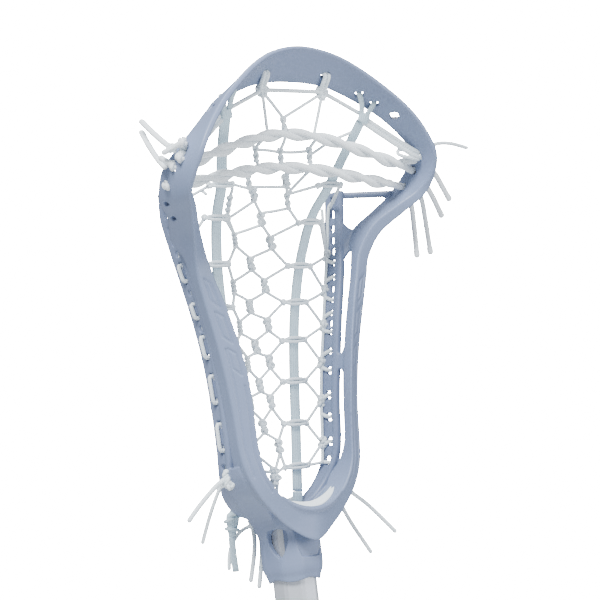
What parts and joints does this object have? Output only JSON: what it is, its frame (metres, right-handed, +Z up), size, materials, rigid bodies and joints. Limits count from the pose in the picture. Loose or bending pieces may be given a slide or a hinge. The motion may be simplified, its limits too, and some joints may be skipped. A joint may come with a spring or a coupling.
{
  "type": "lacrosse stick",
  "caption": "Lacrosse stick with a moulded head, a strung pocket of mesh and flat runners, twisted shooting strings, and a faceted tube with a rubber end cap.",
  "frame": {"origin": "centre of the end cap's flat butt face", "axes": "+Z up the shaft to the head, -Y out of the head's open face, +X to the side"},
  "size_m": [0.2356, 0.1026, 1.0738],
  "materials": {
    "head_plastic": "satin moulded nylon",
    "shaft_metal": "satin",
    "ball_stop_foam": "matt closed-cell foam",
    "runner_webbing": "woven",
    "string_nylon": "braided",
    "shooting_lace": "woven",
    "cap_rubber": "matt",
    "screw_steel": "plain"
  },
  "bodies": {
    "stick": {"head_frame": "head_plastic", "ball_stop": "ball_stop_foam", "shaft": "shaft_metal", "left_runner": "runner_webbing", "right_runner": "runner_webbing", "net_left": "string_nylon", "net_middle": "string_nylon", "net_right": "string_nylon", "top_string": "string_nylon", "bottom_string": "string_nylon", "left_side_string": "string_nylon", "right_side_string": "string_nylon", "upper_shooting_string_a": "shooting_lace", "upper_shooting_string_b": "shooting_lace", "lower_shooting_string_a": "shooting_lace", "lower_shooting_string_b": "shooting_lace", "tail_top_string_right": "string_nylon", "tail_upper_shooting_right_a": "shooting_lace", "tail_upper_shooting_right_b": "shooting_lace", "tail_lower_shooting_right_a": "shooting_lace", "tail_lower_shooting_right_b": "shooting_lace", "tail_upper_shooting_left_a": "shooting_lace", "tail_upper_shooting_left_b": "shooting_lace", "tail_side_string_right_a": "string_nylon", "tail_side_string_right_b": "string_nylon", "tail_side_string_left_a": "string_nylon", "tail_side_string_left_b": "string_nylon", "tail_runner": "runner_webbing", "tail_bottom_string_a": "string_nylon", "tail_bottom_string_b": "string_nylon", "tail_bottom_string_c": "string_nylon"},
    "end_cap": {"end_cap": "cap_rubber"},
    "head_screw": {"head_screw": "screw_steel"}
  },
  "joints": [
    {"name": "end_cap_pull", "type": "slide", "parent": "stick", "child": "end_cap", "axis": [0, 0, -1], "range_m": [0, 0.045]},
    {"name": "head_screw_out", "type": "slide", "parent": "stick", "child": "head_screw", "axis": [0, 1, 0], "range_m": [0, 0.012]}
  ]
}
